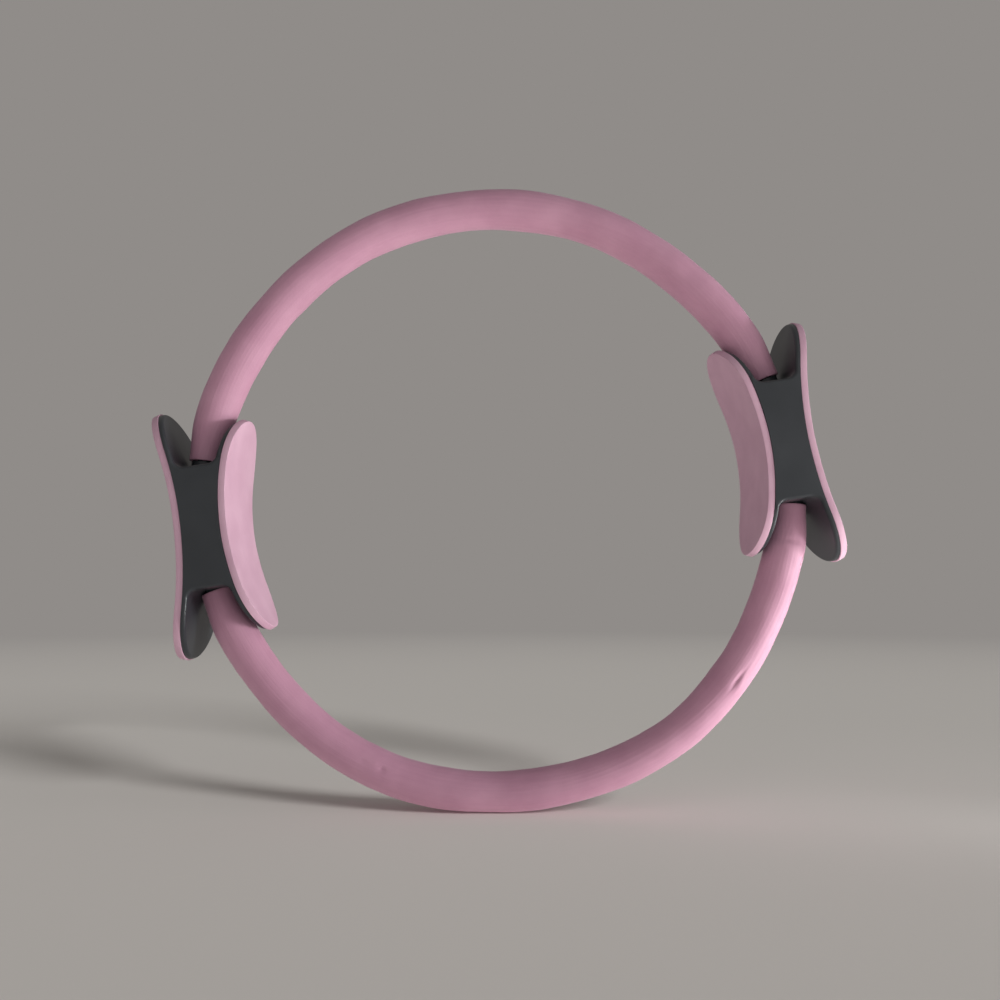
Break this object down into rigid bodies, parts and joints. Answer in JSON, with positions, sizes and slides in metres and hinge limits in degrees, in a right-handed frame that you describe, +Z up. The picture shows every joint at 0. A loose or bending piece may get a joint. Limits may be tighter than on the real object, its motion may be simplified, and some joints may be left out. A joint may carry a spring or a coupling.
{
  "type": "pilates ring",
  "caption": "Springy foam-sleeved exercise hoop with a waisted plastic handle at each side, padded on its inner and outer face, for squeezing and pressing apart.",
  "frame": {"origin": "centre of the ring, which is also the centre of its box", "axes": "the ring stands in the XZ plane as pictured: +Z up, +X from the ring's middle to the right-hand handle, +Y along the ring's axis, away from the viewer"},
  "size_m": [0.3962, 0.0568, 0.3795],
  "materials": {
    "hoop_foam": "matte",
    "pad_foam": "matte",
    "shell_plastic": "satin",
    "fibreglass": "satin",
    "screw_steel": "satin"
  },
  "bodies": {
    "lower_hoop": {"lower_foam_sleeve": "hoop_foam", "lower_inner_leaf": "fibreglass", "lower_outer_leaf": "fibreglass"},
    "left_handle": {"left_outer_shell": "shell_plastic", "left_inner_shell": "shell_plastic", "left_outer_pad": "pad_foam", "left_inner_pad": "pad_foam", "left_screws": "screw_steel"},
    "right_handle": {"right_outer_shell": "shell_plastic", "right_inner_shell": "shell_plastic", "right_outer_pad": "pad_foam", "right_inner_pad": "pad_foam", "right_screws": "screw_steel"},
    "upper_hoop": {"upper_foam_sleeve": "hoop_foam", "upper_outer_leaf": "fibreglass"},
    "upper_core": {"upper_inner_leaf": "fibreglass"}
  },
  "joints": [
    {"name": "squeeze", "type": "slide", "parent": "lower_hoop", "child": "left_handle", "axis": [0.7359, 0, 0.6771], "range_m": [-0.0163, 0.0611], "stiffness_N_per_m": 720, "deforming": ["lower_foam_sleeve", "lower_inner_leaf", "lower_outer_leaf", "upper_foam_sleeve", "upper_inner_leaf", "upper_outer_leaf"]},
    {"name": "squeeze_right", "type": "slide", "parent": "lower_hoop", "child": "right_handle", "axis": [-0.7359, 0, 0.6771], "range_m": [-0.0165, 0.0613], "stiffness_N_per_m": 720},
    {"name": "upper_rise_left", "type": "slide", "parent": "left_handle", "child": "upper_hoop", "axis": [-0.7359, 0, 0.6771], "range_m": [-0.0165, 0.0613], "stiffness_N_per_m": 720},
    {"name": "upper_rise_right", "type": "slide", "parent": "right_handle", "child": "upper_core", "axis": [0.7359, 0, 0.6771], "range_m": [-0.0165, 0.0613], "stiffness_N_per_m": 720}
  ],
  "couplings": [
    {"joint": "squeeze_right", "follows": "squeeze", "ratio": 1},
    {"joint": "upper_rise_left", "follows": "squeeze", "ratio": 1},
    {"joint": "upper_rise_right", "follows": "squeeze", "ratio": 1}
  ]
}
